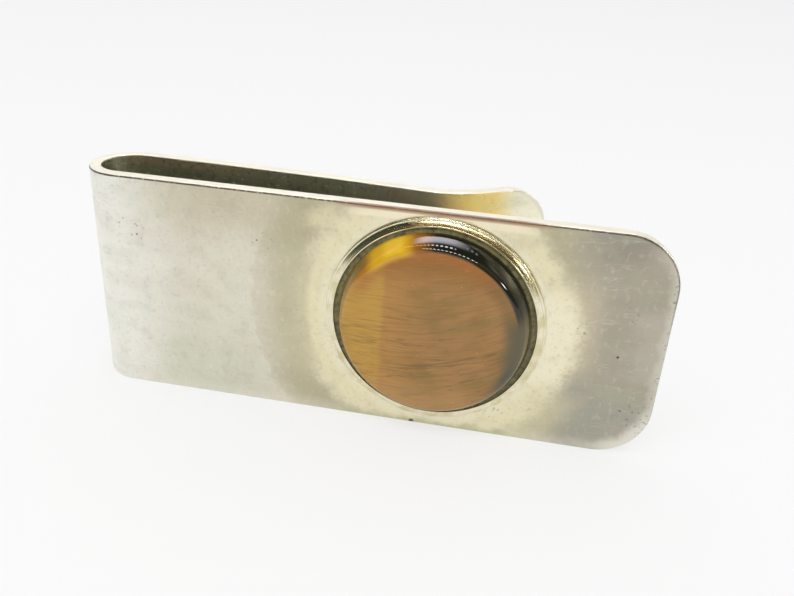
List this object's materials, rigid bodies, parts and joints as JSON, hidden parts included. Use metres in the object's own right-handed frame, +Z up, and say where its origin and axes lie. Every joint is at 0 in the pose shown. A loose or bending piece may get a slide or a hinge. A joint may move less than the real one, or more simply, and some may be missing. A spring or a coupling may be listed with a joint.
{
  "type": "money clip",
  "caption": "Folded metal money clip: a flat rounded front plate, a U-bend and a sprung rear arm with a flared lip, with a round polished stone glued into a low bezel on the front.",
  "frame": {"origin": "centre of the underside of the whole clip's box, standing on its long edge", "axes": "+X from the U-bend to the open end, +Y from the stone side to the rear arm, +Z up across the strip's width"},
  "size_m": [0.0554, 0.0138, 0.022],
  "materials": {
    "strip_metal": "satin",
    "bezel_metal": "polished",
    "solder": "satin",
    "glue": "satin",
    "tigers_eye": "polished"
  },
  "bodies": {
    "front": {"front_plate": "strip_metal", "bend_front_half": "strip_metal", "solder_layer": "solder", "bezel_disc": "bezel_metal", "bezel_ring": "bezel_metal", "stone_glue": "glue", "stone": "tigers_eye"},
    "arm": {"bend_rear_half": "strip_metal", "rear_arm": "strip_metal"}
  },
  "joints": [
    {"name": "arm_flex", "type": "hinge", "parent": "front", "child": "arm", "pos_m": [-0.02705, -0.00049, 0.011], "axis": [0, 0, 1], "range_deg": [-6, 7], "stiffness_Nm_per_rad": 1.2}
  ]
}
